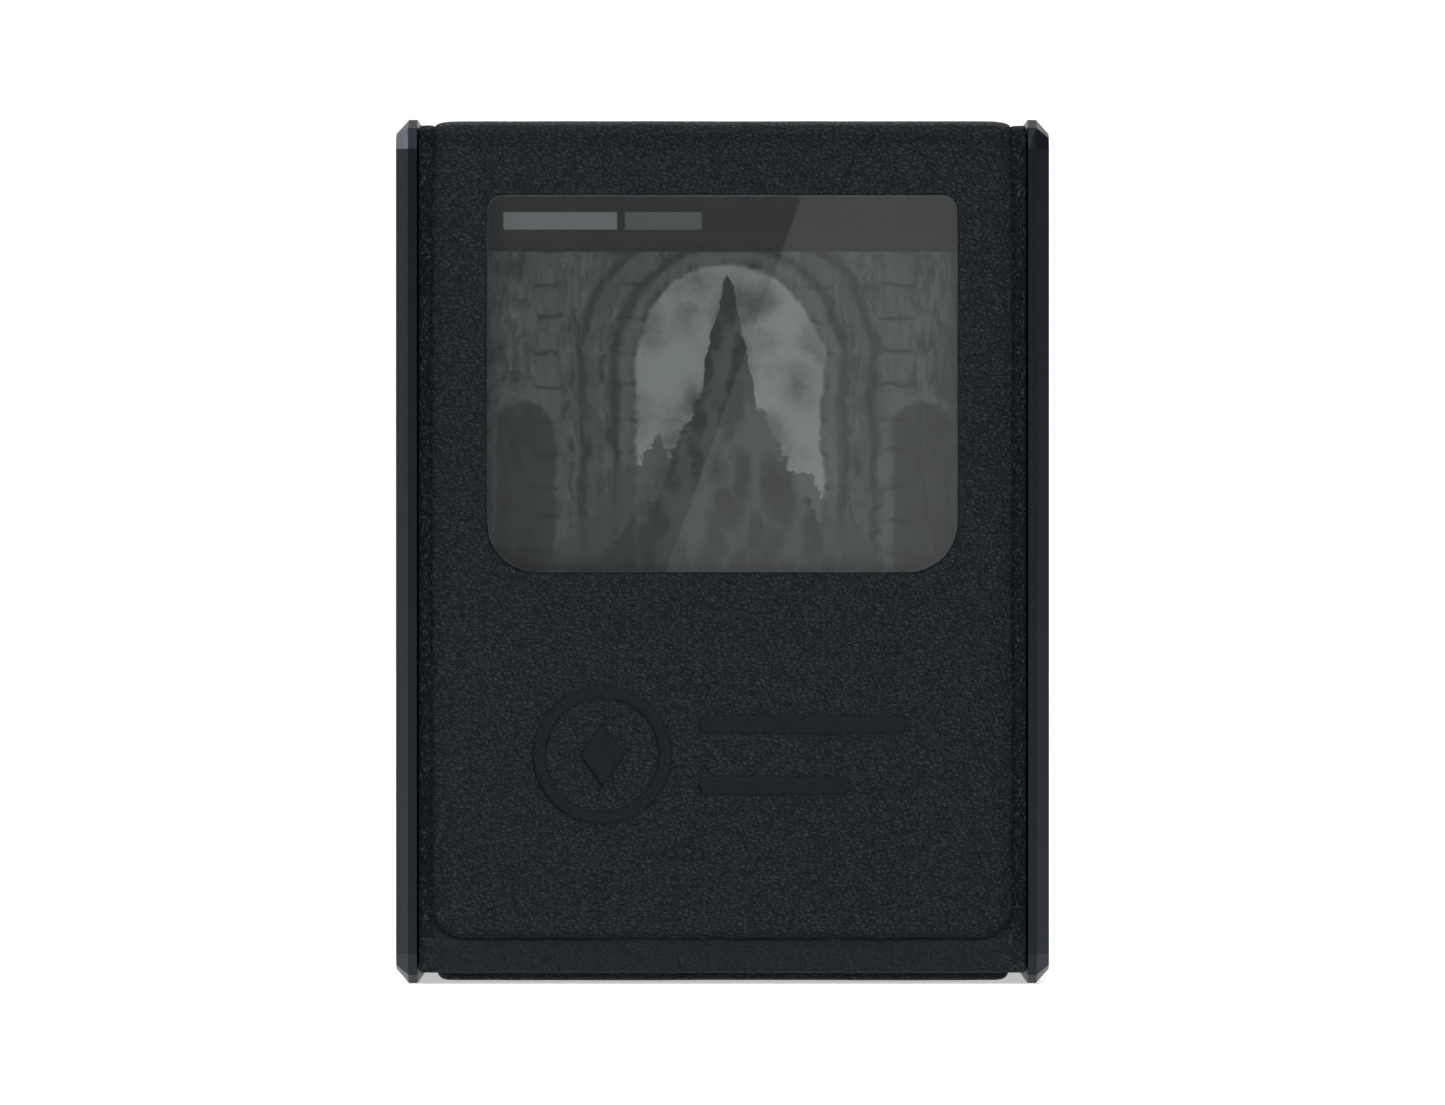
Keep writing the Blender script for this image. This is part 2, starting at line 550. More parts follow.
def card_material():
    """A printed card: a title band with two plain bars over a painted hall, whose arch opens on
    pale mist with a dark spire of rock, and ruled bars on the lower half."""
    g = Graph("card_print")
    x, _, raw_z = g.split(g.position())
    z = g.minus(raw_z, card_low.z / MM)
    flat = g.join(x, 0.0, z)
    brushed = g.warp(g.warp(flat, 0.14, 1.3), 0.8, 0.5)
    bx, _, bz = g.split(brushed)
    strokes = g.noise(g.stretch(brushed, (1.6, 1.0, 0.3)), 0.9, 7.0, 0.72)
    blots = g.noise(brushed, 0.2, 7.0, 0.7)
    lobes = g.cells(g.warp(flat, 0.3, 0.9), 0.19, "F1")
    scratch = g.noise(g.stretch(g.warp(flat, 0.5, 1.0), (0.6, 1.0, 2.6)), 1.5, 5.0, 0.7)

    def square(value):
        return g.times(value, value)

    def arch(centre, half, spring):
        """Distance outside a round-headed arch."""
        up = g.larger(g.minus(bz, spring), 0.0)
        reach = g.math("SQRT", g.plus(square(g.minus(bx, centre)), square(up)))
        return g.minus(reach, half)

    def ridge(distance, middle, width):
        return g.step(width, 0.0, g.absolute(g.minus(distance, middle)))

    def rock(centre, top, slope):
        ragged = g.times(g.minus(g.noise(flat, 0.33, 7.0, 0.68), 0.5), 13.0)
        fall = g.times(g.absolute(g.minus(x, centre)), slope)
        line = g.plus(g.minus(top, fall), ragged)
        return g.step(-0.3, 0.3, g.minus(line, z))

    def bar(x0, x1, middle, half):
        reach = g.larger(g.minus(x0, x), g.minus(x, x1))
        reach = g.larger(reach, g.minus(g.absolute(g.minus(z, middle)), half))
        return g.step(0.06, -0.06, reach)

    stone_tone = g.total((strokes, 0.8), (blots, 0.6))
    stone = g.mix(g.step(0.5, 0.9, stone_tone), (0.026, 0.03, 0.028), (0.25, 0.28, 0.255))
    column = g.math("SINE", g.times(g.plus(g.absolute(bx), 1.0), 0.62))
    stone = g.mix(g.step(0.1, 1.0, column, 0.0, 0.55), stone, (0.20, 0.225, 0.205))
    rings = g.times(ridge(g.math("PINGPONG", g.plus(bz, 1.5), 4.2), 2.0, 0.5),
                   g.step(0.2, 0.6, column))
    stone = g.mix(g.times(rings, 0.75), stone, (0.02, 0.022, 0.021))
    hall = arch(0.8, 11.6, 67.0)
    for gap, shade in ((1.4, (0.22, 0.245, 0.225)), (2.7, (0.012, 0.014, 0.0135)),
                       (5.2, (0.15, 0.165, 0.155)), (6.6, (0.014, 0.016, 0.0155))):
        stone = g.mix(g.times(ridge(hall, gap, 1.0), 0.7), stone, shade)
    for side in (-24.5, 25.0):
        niche = arch(side, 3.6, 58.0)
        stone = g.mix(g.times(g.step(0.4, -0.4, niche), 0.7), stone, (0.012, 0.014, 0.0135))
        stone = g.mix(g.times(ridge(niche, 0.9, 0.8), 0.6), stone, (0.2, 0.22, 0.2))
    sky_tone = g.total((lobes, 0.75), (blots, 0.9), (scratch, 0.25))
    sky = g.mix(g.step(0.6, 1.2, sky_tone), (0.2, 0.225, 0.205), (0.6, 0.645, 0.595))
    picture = g.mix(g.step(0.35, -0.35, hall), stone, sky)
    picture = g.mix(1.0, picture, (0.47, 0.47, 0.47), "MULTIPLY")
    far_rock = g.larger(rock(-8.0, 57.0, 1.1), rock(9.6, 53.0, 1.0))
    picture = g.mix(g.times(far_rock, 0.8), picture, (0.05, 0.056, 0.053))
    near_rock = g.larger(rock(0.6, 78.5, 4.6), rock(-1.0, 66.0, 2.0))
    for centre, top, slope in ((3.6, 63.5, 2.3), (-4.6, 57.5, 1.5), (7.2, 55.0, 1.7)):
        near_rock = g.larger(near_rock, rock(centre, top, slope))
    facets = g.cells(g.stretch(g.warp(flat, 0.3, 1.4), (1.3, 1.0, 0.5)), 0.33, "F1")
    rock_light = g.total((facets, 0.8), (scratch, 0.7))
    rock_tone = g.mix(g.step(0.6, 1.0, rock_light), (0.014, 0.0155, 0.016), (0.07, 0.077, 0.073))
    mist = g.step(62.0, 38.0, g.plus(z, g.times(blots, 14.0)), 0.0, 0.5)
    rock_tone = g.mix(mist, rock_tone, (0.075, 0.082, 0.078))
    picture = g.mix(near_rock, picture, rock_tone)
    edge = g.step(25.5, 31.5, g.absolute(bx), 0.0, 0.75)
    picture = g.mix(edge, picture, (0.012, 0.013, 0.0135))
    band_low = 80.5
    band_colour = g.mix(g.noise(flat, 0.5, 3.0, 0.6), (0.0065, 0.0068, 0.0072),
                        (0.0105, 0.011, 0.0115))
    shown = g.mix(g.step(-0.05, 0.05, g.minus(z, band_low)), picture, band_colour)
    for place, strength, ink in (((-40.0, 40.0, band_low + 0.4, 0.45), 0.8, (0.002, 0.0022, 0.0025)),
                                 ((-27.4, -13.2, 84.3, 1.1), 0.9, (0.26, 0.26, 0.262)),
                                 ((-12.2, -2.6, 84.3, 1.1), 0.7, (0.18, 0.18, 0.182))):
        shown = g.mix(g.times(bar(*place), strength), shown, ink)
    rules = g.step(0.25, 0.4, g.absolute(g.math("SINE", g.times(z, 0.85))))
    panel = g.mix(g.times(rules, 0.5), (0.10, 0.108, 0.105), (0.035, 0.038, 0.038))
    panel = g.mix(bar(-26.0, 26.0, 20.0, 14.5), (0.022, 0.024, 0.025), panel)
    shown = g.mix(g.step(37.0, 36.6, z), shown, panel)
    facing = g.split(g.add("ShaderNodeTexCoord").outputs["Normal"])[1]
    frame_line = g.times(bar(-28.5, 28.5, 44.0, 41.0), g.minus(1.0, bar(-27.6, 27.6, 44.0, 40.1)))
    back = g.mix(blots, (0.012, 0.014, 0.015), (0.04, 0.044, 0.046))
    back = g.mix(g.times(frame_line, 0.8), back, (0.2, 0.21, 0.21))
    shown = g.mix(g.step(0.4, 0.6, facing), shown, back)
    tooth = g.noise(g.position(), 6.0, 3.0, 0.6)
    return g.finish(Base_Color=shown, Roughness=0.5, Specular_IOR_Level=0.3,
                    Normal=g.bump(tooth, 0.01 * MM, 0.5))


MATERIALS = {
    "leather": leather_material(),
    "plate_plastic": plate_material(),
    "lining": cloth_material(),
    "foam": foam_material(),
    "greyboard": board_material(),
    "magnet": metal_material("magnet", (0.62, 0.6, 0.57), 0.16, 0.3, (1.0, 1.0, 1.0)),
    "screw_steel": metal_material("screw_steel", (0.36, 0.36, 0.37), 0.25, 0.42, (1.0, 4.0, 4.0)),
    "clear_lens": clear_material("clear_lens", (0.96, 0.965, 0.965), 0.036, 0.004, 0.012, 0.6),
    "clear_sleeve": clear_material("clear_sleeve", (0.98, 0.985, 0.985), 0.006, 0.1, 0.008, 0.06),
    "card_print": card_material(),
}


# ---- The cover: one sheet that runs up the front, over the lid and down the back ----

def cover(u, s, w):
    """Place of a point on the cover. u runs across it, s along it from the front fold's lower
    edge, and w outwards from the border's leather."""
    front_turn = np.clip(s / FOLD_R, 0, math.pi / 2)
    back_turn = np.clip((s - BACK_START) / FOLD_R, 0, math.pi / 2)
    run = np.clip(s - FOLD_LENGTH, 0, LID_LENGTH)
    reach = FOLD_R + w
    y = -FOLD_Y + run - reach * np.cos(front_turn) + reach * np.sin(back_turn)
    z = FOLD_Z + reach * np.sin(front_turn) + np.minimum(s, 0) - np.maximum(s - BACK_END, 0)
    z = z - reach * (1 - np.cos(back_turn))
    return np.stack([u, y, z], 1)


def cover_level(s):
    """Height on the box of a place on the cover's front or back; the lid counts as higher."""
    return FOLD_Z + np.where(s > BACK_END / 2, BACK_END - s, s)


def cover_pad_inside(u, s):
    """Distance inside the raised panel's outline, negative on the border."""
    along = cover_level(s)
    narrow = smooth(FOLD_Z - 7 * MM, FOLD_Z, along)
    half = PAD_HALF + (PAD_HALF_TOP - PAD_HALF) * narrow
    half = np.where(s > BACK_END / 2, PAD_HALF_TOP, half)
    wobble = 0.09 * MM * value_noise(u, s, 2.2 * MM, 3) + 0.05 * MM * value_noise(u, s, 0.8 * MM, 4)
    qu = np.abs(u) - half + PAD_CORNER
    qv = PAD_LOW_Z + PAD_CORNER - along
    outside = np.hypot(np.maximum(qu, 0), np.maximum(qv, 0))
    inside = PAD_CORNER - outside - np.minimum(np.maximum(qu, qv), 0)
    return inside + wobble


def shoulder(inside, rise, reach=SHOULDER):
    """Height of a raised panel, which grows softly from its outline inwards."""
    return rise * (1 - np.exp(-np.maximum(inside, 0) / reach))


def cover_lift(u, s):
    return shoulder(cover_pad_inside(u, s), PAD_RISE)


def pad_height(inside, rise, u, v, reach=SHOULDER):
    """Height of leather over a foam panel: a crease at the outline, then a soft shoulder."""
    depth = (0.17 + 0.07 * value_noise(u, v, 1.7 * MM, 7)) * MM
    crease = depth * np.exp(-(inside / (0.2 * MM)) ** 2)
    return shoulder(inside, rise, reach) - crease


def leather_relief(u, v):
    """Gentle waves in the leather."""
    broad = 0.022 * MM * value_noise(u, v, 9 * MM, 11)
    return broad + 0.012 * MM * value_noise(u, v, 2.4 * MM, 12)


def cover_height(u, s):
    """Height of the cover's leather over the border's level."""
    inside = cover_pad_inside(u, s)
    border = smooth(0.3 * MM, -0.3 * MM, inside)
    waves = value_noise(u, s, 0.9 * MM, 21) + 0.6 * value_noise(u, 0.5 * s, 0.6 * MM, 22)
    crumple = 0.05 * MM * border * waves
    return pad_height(inside, PAD_RISE, u, s) + leather_relief(u, s) + crumple


def cover_attributes(piece, u, s, press=0.0):
    """Where the leather is crumpled, which is beside the side plates, where it is calm, which is
    on the rest of the border, and where the panel's dark seam runs."""
    inside = cover_pad_inside(u, s)
    border = smooth(0.8 * MM, -0.2 * MM, inside)
    beside = smooth(PLATE_SIDE, PLATE_SIDE + 1 * MM, np.abs(u))
    lower = smooth(PAD_LOW_Z + 1.5 * MM, PAD_LOW_Z - 0.5 * MM, cover_level(s))
    set_attribute(piece, "press", np.broadcast_to(press, u.shape))
    set_attribute(piece, "crush", border * beside * (1 - 0.6 * lower))
    set_attribute(piece, "calm", border * np.maximum(1 - beside, lower))
    broken = 0.75 + 0.25 * value_noise(u, s, 1.3 * MM, 23)
    wide_at = np.where(np.abs(u) > PLATE_SIDE, 0.34 * MM, 0.17 * MM)
    set_attribute(piece, "seam", broken * np.exp(-(inside / wide_at) ** 2))


def rounding(edge_distance, radius):
    """How far the surface falls away near a rounded edge."""
    t = np.clip(radius - edge_distance, 0, radius)
    return radius - np.sqrt(np.maximum(radius ** 2 - t ** 2, 0))


EDGE_STEPS = edge_steps(EDGE_R, (90, 72, 56, 42, 28, 14, 0))
CREASE_STEPS = [d * MM for d in (-0.7, -0.35, -0.18, -0.08, 0, 0.08, 0.18, 0.32, 0.55, 0.9, 1.4,
                                 2.1, 3.0)]


def cover_columns():
    """Positions across the cover: close together at the edges and the panel's shoulders."""
    half = [COVER_HALF - e for e in EDGE_STEPS] + [PAD_HALF_TOP - c for c in CREASE_STEPS]
    inner = min(half)
    half = sorted(half + list(spaced(0, inner, 0.8 * MM))[1:-1])
    kept = [half[0]]
    for value in half[1:]:
        if value - kept[-1] > 0.05 * MM:
            kept.append(value)
    kept[-1] = COVER_HALF
    return np.array([-k for k in kept[::-1]] + [0.0] + kept)


COLUMNS = cover_columns()


def emblem_bars():
    """Corners and rounding of the two bars beside the ring."""
    half = BAR_HEIGHT / 2
    for k, length in enumerate(BAR_LENGTHS):
        middle = EMBLEM_Z + BAR_PITCH * (0.5 - k)
        yield (BAR_X, middle - half), (BAR_X + length, middle + half), half, half


def emblem_inside(x, z):
    """Distance inside the pressed emblem: a ring, a lozenge and two bars."""
    dx, dz = x - EMBLEM_X, z - EMBLEM_Z
    r = np.hypot(dx, dz)
    ring = np.minimum(EMBLEM_R - r, r - (EMBLEM_R - EMBLEM_LINE))
    wide, tall = LOZENGE
    lozenge = (wide * tall - tall * np.abs(dx) - wide * np.abs(dz)) / math.hypot(wide, tall)
    found = np.maximum(ring, lozenge)
    for bar in emblem_bars():
        found = np.maximum(found, rect_inside(x, z, *bar))
    return found


def emblem_points():
    """Close rings of points along the emblem's outlines."""
    offsets = [o * MM for o in (-0.28, -0.14, -0.04, 0.06, 0.16, 0.3)]
    step = 0.3 * MM
    centre = (EMBLEM_X, EMBLEM_Z)
    rings = [circle_rings(centre, [EMBLEM_R - o for o in offsets], step),
             circle_rings(centre, [EMBLEM_R - EMBLEM_LINE + o for o in offsets], step)]
    for o in offsets:
        grown = [(LOZENGE[0] - 1.2 * o, 0), (0, LOZENGE[1] - 1.7 * o),
                 (-LOZENGE[0] + 1.2 * o, 0), (0, -LOZENGE[1] + 1.7 * o)]
        for p, q in zip(grown, grown[1:] + grown[:1]):
            t = np.linspace(0, 1, 18)[:-1, None]
            rings.append(np.array(centre) + np.array(p) * (1 - t) + np.array(q) * t)
    rings += [rect_rings(*bar, [-o for o in offsets], step) for bar in emblem_bars()]
    return np.concatenate(rings)


def window_inside(x, z):
    return rect_inside(x, z, *WINDOW)


def flap_skin():
    """Leather of the flap, with its raised panel, window, pressed emblem and turned edges."""
    bottom = flap_low.z
    low, high = (-COVER_HALF, bottom), (COVER_HALF, FOLD_Z)
    past = FOLD_Z + 12 * MM     # the outlines run on past the fold and are cut off there
    outline = (low, (COVER_HALF, past), EDGE_R, EDGE_R)
    edges = rect_rings(*outline, [-e for e in EDGE_STEPS], 0.55 * MM)
    pad = rect_rings((-PAD_HALF, PAD_LOW_Z), (PAD_HALF, past), PAD_CORNER, PAD_CORNER,
                     [-c for c in CREASE_STEPS], 0.42 * MM)
    rim_steps = edge_steps(WINDOW_EDGE, (90, 60, 38, 18, 0))
    rim = rect_rings(*WINDOW, rim_steps + [0.7 * MM], 0.45 * MM)
    top = np.stack([COLUMNS, np.full(len(COLUMNS), FOLD_Z)], 1)
    features = np.concatenate([edges, pad, rim, emblem_points()])
    features = features[features[:, 1] < FOLD_Z - 0.2 * MM]
    features = np.concatenate([features, top])
    filler = background(low, high, 0.75 * MM, features, 0.45 * MM)
    points, faces = triangulate(np.concatenate([features, filler]), lambda x, z:
                                (window_inside(x, z) < 0) & (rect_inside(x, z, *outline) > 0))
    x, z = points.T
    press = smooth(-0.1 * MM, 0.22 * MM, emblem_inside(x, z))

    def outer(p):
        u, v = p.T
        fall = rounding(np.maximum(rect_inside(u, v, *outline), 0), EDGE_R)
        fall = fall + rounding(np.maximum(-window_inside(u, v), 0), WINDOW_EDGE)
        return cover(u, v - FOLD_Z, cover_height(u, v - FOLD_Z) - fall - EMBLEM_DEPTH * press)

    def inner(p):
        u, v = p.T
        squeeze = 3 * MM
        side = np.sign(u) * np.minimum(np.abs(u), COVER_HALF - squeeze)
        side = side + (u - side) * (squeeze - SKIN) / squeeze
        low_part = np.minimum(v - bottom - squeeze, 0)
        rise = np.maximum(v, bottom + squeeze) + low_part * (squeeze - SKIN) / squeeze
        return cover(side, rise - FOLD_Z, FOAM_FILL * cover_lift(u, v - FOLD_Z) - SKIN)

    def skirt(p, above, below):
        u, v = p.T
        turned = (window_inside(u, v) < -1 * MM) & (v < FOLD_Z - 1e-6)
        side_depth = smooth(bottom + 0.75 * MM, bottom + 1.4 * MM, v)
        depth = spacer_low.y + (flap_high.y - spacer_low.y) * side_depth
        return turned_rim(above, below, turned, 1, depth)

    piece = shell("flap_leather_skin", points, faces, outer, inner, MATERIALS["leather"], skirt)
    cover_attributes(piece, x, z - FOLD_Z, press)
    return piece


def cover_strip(name, s_start, s_end, step, turned_to=None):
    """A stretch of the cover between two places along it. turned_to is the height its side
    edges are turned down to, or None where they are just cut."""
    points, faces = grid(COLUMNS, spaced(s_start, s_end, step))

    def wide(u, s):
        """The back wall's leather reaches the side plates; the fold above it stays clear."""
        reach = smooth(34 * MM, COVER_HALF, np.abs(u)) * smooth(BACK_END, BACK_END + 5 * MM, s)
        return u + np.sign(u) * 0.15 * MM * reach

    def outer(p):
        u, s = p.T
        fall = rounding(COVER_HALF - np.abs(u), EDGE_R)
        fall = fall + rounding(np.maximum(BACK_END + FOLD_Z - back_low.z - s, 0), 0.4 * MM)
        return cover(wide(u, s), s, cover_height(u, s) - fall)

    def inner(p):
        u, s = p.T
        side = (COVER_HALF - SKIN) / COVER_HALF * wide(u, s)
        return cover(side, s, FOAM_FILL * cover_lift(u, s) - SKIN)

    def skirt(p, above, below):
        return turned_rim(above, below, np.abs(p[:, 0]) > COVER_HALF - 1e-6, 2, turned_to)

    piece = shell(name, points, faces, outer, inner, MATERIALS["leather"],
                  skirt if turned_to else None)
    cover_attributes(piece, *points.T)
    return piece


def sheet_points(low, high, r, edge_steps, step, hole=None, rings=()):
    """Points and triangles over a rounded rectangle, with close rings near its edge."""
    edge = rect_rings(low, high, r, r, [-e for e in edge_steps], step)
    features = np.concatenate([edge, *rings])
    inside = rect_inside(*features.T, low, high, r, r) > -1e-7
    features = features[inside & (hole is None or hole(*features.T) > -1e-7)]
    filler = background(low, high, 1.6 * step, features, step)
    points = np.concatenate([features, filler])
    return triangulate(points, lambda u, v: (rect_inside(u, v, low, high, r, r) > 0)
                       & (hole is None or hole(u, v) > 0))


FOAM_STEPS = [0, 0.3 * MM, 0.8 * MM, 1.6 * MM]
FOAM_GAP = 0.02 * MM            # between a foam sheet and the leather over it


def foam_sheet(name, low, high, corner, lift, place, hole=None, rings=()):
    """Foam under a raised panel, from the board up to the underside of the leather.
    lift gives the panel's height and place puts (u, v, height over the border) in space."""
    points, faces = sheet_points(low, high, corner, FOAM_STEPS, 1.1 * MM, hole, rings)
    return shell(name, points, faces,
                 lambda p: place(*p.T, FOAM_FILL * lift(*p.T) - SKIN - FOAM_GAP),
                 lambda p: place(*p.T, np.full(len(p), -SKIN)), MATERIALS["foam"])


BASE_LOW = (-back_high.x + BASE_PLAY, base_low.y)
BASE_HIGH = (back_high.x - BASE_PLAY, base_high.y)
BASE_PAD = ((-PAD_HALF_TOP, BASE_LOW[1] + BASE_INSET), (PAD_HALF_TOP, BASE_HIGH[1] - BASE_INSET),
            2 * MM, 2 * MM)


def base_pad_inside(x, y):
    return rect_inside(x, y, *BASE_PAD) + 0.08 * MM * value_noise(x, y, 2.0 * MM, 31)


def base_lift(x, y):
    return shoulder(base_pad_inside(x, y), BASE_RISE, BASE_SHOULDER)


def base_place(x, y, w):
    """Place of a point w below the border of the base's leather."""
    return np.stack([x, y, base_low.z + BASE_RISE - w], 1)


def base_skin():
    """Leather under the box, with its raised panel to stand on."""
    corner = 0.3 * MM
    pad = rect_rings(*BASE_PAD, [-c for c in CREASE_STEPS], 0.5 * MM)
    points, faces = sheet_points(BASE_LOW, BASE_HIGH, corner, EDGE_STEPS, 0.6 * MM, rings=[pad])

    def outer(p):
        x, y = p.T
        edge = rect_inside(x, y, BASE_LOW, BASE_HIGH, corner, corner)
        lift = pad_height(base_pad_inside(x, y), BASE_RISE, x, y, BASE_SHOULDER)
        lift = lift + leather_relief(x, y) - rounding(np.maximum(edge, 0), 0.5 * MM)
        return base_place(x, y, lift)

    def inner(p):
        flat = base_place(*p.T, FOAM_FILL * base_lift(*p.T) - SKIN)
        flat[:, 2] = np.minimum(flat[:, 2], base_high.z)
        return flat

    piece = shell("base_leather_skin", points, faces, outer, inner, MATERIALS["leather"])
    border = smooth(0.8 * MM, -0.2 * MM, base_pad_inside(*points.T))
    set_attribute(piece, "calm", 0.8 * border)
    return piece


def base_foam():
    """Foam between the base's leather and the floor board."""
    half, inset = PAD_HALF_TOP - 0.9 * MM, 1.7 * MM
    points, faces = sheet_points((-half, BASE_LOW[1] + inset), (half, BASE_HIGH[1] - inset),
                                 1.3 * MM, FOAM_STEPS, 1.3 * MM)

    def under(p):
        return base_place(*p.T, FOAM_FILL * base_lift(*p.T) - SKIN - FOAM_GAP)

    def above(p):
        return np.column_stack([p, np.full(len(p), base_high.z)])

    return shell("base_foam_sheet", points, faces, under, above, MATERIALS["foam"])


def cushion(name, low, high, corner, thickness, edge_r, crown, draw_in, place, material):
    """A crowned pad whose sides pull in between its corners. place(u, v, w) puts it in space,
    with w up from the face it is fixed by."""
    steps = edge_steps(edge_r, (90, 76, 62, 48, 34, 20, 8))
    steps += [edge_r * k for k in (1.2, 1.6, 2.2)]
    points, faces = sheet_points(low, high, corner, steps, 0.9 * MM)
    middle = ((low[0] + high[0]) / 2, (low[1] + high[1]) / 2)
    half = ((high[0] - low[0]) / 2, (high[1] - low[1]) / 2)

    def drawn(p):
        a, b = (p[:, 0] - middle[0]) / half[0], (p[:, 1] - middle[1]) / half[1]
        pull_u = draw_in * np.cos(b * math.pi / 2) * np.sign(a) * np.abs(a) ** 6
        pull_v = draw_in * np.cos(a * math.pi / 2) * np.sign(b) * np.abs(b) ** 6
        return p[:, 0] - pull_u, p[:, 1] - pull_v, a, b

    def face(p):
        u, v, a, b = drawn(p)
        edge = np.maximum(rect_inside(p[:, 0], p[:, 1], low, high, corner, corner), 0)
        t = np.clip(1 - edge / edge_r, 0, 1)
        side = (1 - t ** 2.2) ** (1 / 2.2)
        dome = crown * ((1 - np.abs(a) ** 2.5) * (1 - np.abs(b) ** 2.5) - 1)
        tucks = np.exp(-(edge / (2.2 * edge_r)) ** 2) * value_noise(*p.T, 2.6 * MM, 41) * 0.14 * MM
        soft = 0.07 * MM * value_noise(*p.T, 11 * MM, 42)
        rise = (thickness + dome + tucks + soft - 0.2 * MM) * side
        return place(u, v, np.clip(rise, 0.15 * MM, thickness))

    def foot(p):
        u, v, _, _ = drawn(p)
        return place(u, v, np.zeros(len(p)))

    return shell(name, points, faces, face, foot, material)


def lining_sheet(name, low, high, thickness, place, marks=(), hole=None, hole_rings=()):
    """Cloth glued to a board: thin, soft at its edges, with what lies under it showing faintly."""
    rings = [circle_rings((x, y), [r + d * MM for d in (-0.5, -0.2, 0.1, 0.5)], 0.7 * MM)
             for x, y, r in marks]
    steps = [0, 0.06 * MM, 0.16 * MM, 0.35 * MM, 0.9 * MM]
    points, faces = sheet_points(low, high, 0.5 * MM, steps, 0.9 * MM, hole, rings + list(hole_rings))

    def face(p):
        u, v = p.T
        edge = np.maximum(rect_inside(u, v, low, high, 0.5 * MM, 0.5 * MM), 0)
        if hole is not None:
            edge = np.minimum(edge, np.maximum(hole(u, v), 0))
        waves = 0.02 * MM * (value_noise(u, v, 7 * MM, 51) - 1)
        for x, y, r in marks:
            waves = waves - 0.05 * MM * smooth(0.5 * MM, -0.1 * MM, np.hypot(u - x, v - y) - r)
        return place(u, v, thickness + waves - rounding(edge, 0.3 * MM))

    return shell(name, points, faces, face, lambda p: place(*p.T, np.zeros(len(p))),
                 MATERIALS["lining"])


def hem(name, low, high, place, pared=0.0):
    """A thin strip of lining turned over the end of a board. The last part of its width, which
    lies under a fold, is pared thin."""
    full = high[1] - pared
    rows = spaced(low[1], full, 0.35 * MM)
    if pared > 0:
        rows = np.append(rows, high[1])
    points, faces = grid(spaced(low[0], high[0], 1.2 * MM), rows)

    def seen(p):
        u, v = p.T
        thick = (0.13 + 0.02 * value_noise(u, v, 1.8 * MM, 71)) * MM
        return place(u, v, np.where((pared > 0) & (v > full - 1e-7), 0.004 * MM, thick))

    return shell(name, points, faces, seen, lambda p: place(*p.T, np.zeros(len(p))),
                 MATERIALS["lining"])


def fold_lining(name, s_start, s_end):
    """Lining on the inside of a fold, gathered a little across the fold."""
    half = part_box("front_hinge_lining")[1].x
    us = np.concatenate([[-half, -half + 0.15 * MM], spaced(-half + 0.5 * MM, half - 0.5 * MM, 1.0 * MM),
                         [half - 0.15 * MM, half]])
    points, faces = grid(us, spaced(s_start, s_end, 0.3 * MM))

    def seen(p):
        u, s = p.T
        puckers = 0.05 * MM * (value_noise(u, s, 1.6 * MM, 61) - 1)
        puckers = puckers + rounding(half - np.abs(u), 0.25 * MM)
        return cover(u, s, -SKIN - LINING - puckers)

    return shell(name, points, faces[:, ::-1], seen, lambda p: cover(*p.T, np.full(len(p), -SKIN)),
                 MATERIALS["lining"])


# ---- Studio ----

def emission(name, colour, strength):
    g = Graph(name)
    g.tree.nodes.remove(g.shader)
    light = g.add("ShaderNodeEmission", {"Color": (*colour, 1.0), "Strength": strength})
    g.put(g.output.inputs[0], light.outputs[0])
    return g.material


def floor_material():
    """Pale floor that is white round the object and down the length seen behind it, and duller
    out to the sides, towards the viewer and in the shadow under the object."""
    g = Graph("floor")
    g.tree.nodes.remove(g.shader)
    x, y, _ = g.split(g.position())
    ahead = g.step(-950.0, -360.0, y, 0.3, 1.0)
    aside = g.step(1000.0, 380.0, g.absolute(x), 0.3, 1.0)
    glow = g.times(g.times(ahead, aside), 0.86)
    under = g.step(cad_low.y / MM + 3, cad_low.y / MM + 0.5, y)
    under = g.larger(under, g.step(cad_high.y / MM - 3, cad_high.y / MM - 0.5, y))
    under = g.larger(under, g.step(cad_high.x / MM - 3, cad_high.x / MM - 0.5, g.absolute(x)))
    glow = g.times(glow, g.larger(under, 0.6))
    light = g.add("ShaderNodeEmission", {"Color": (1.0, 1.0, 1.0, 1.0), "Strength": glow})
    matt = g.add("ShaderNodeBsdfDiffuse", {"Color": (0.8, 0.8, 0.8, 1.0)})
    both = g.add("ShaderNodeAddShader", {0: light.outputs[0], 1: matt.outputs[0]})
    g.put(g.output.inputs[0], both.outputs[0])
    return g.material


def area_light(name, place, target, size, radiance, colour=(0.86, 0.94, 1.0)):
    """A rectangular soft light, whose strength is given as its brightness."""
    light = bpy.data.lights.new(name, "AREA")
    light.shape = "RECTANGLE"
    light.size, light.size_y = size
    light.color = colour
    light.energy = radiance * math.pi * size[0] * size[1]
    lamp = bpy.data.objects.new(name, light)
    bpy.context.scene.collection.objects.link(lamp)
    lamp.location = place
    lamp.rotation_euler = (Vector(target) - Vector(place)).to_track_quat("-Z", "Y").to_euler()
    lamp.visible_camera = False
    return lamp


def camera():
    """The photo's view: straight at the front from a distance."""
    data = bpy.data.cameras.new("camera")
    eye = bpy.data.objects.new("camera", data)
    bpy.context.scene.collection.objects.link(eye)
    distance = 1.22                 # from the box's front
    frame_width = 180.27 * MM       # width of the picture at the box's front
    eye_height = 53.87 * MM
    data.sensor_width = 36
    data.lens = data.sensor_width * distance / frame_width
    data.clip_start, data.clip_end = 0.01, 20
    eye.location = (0, cad_low.y - distance, eye_height)
    eye.rotation_euler = (math.pi / 2, 0, 0)
    bpy.context.scene.camera = eye


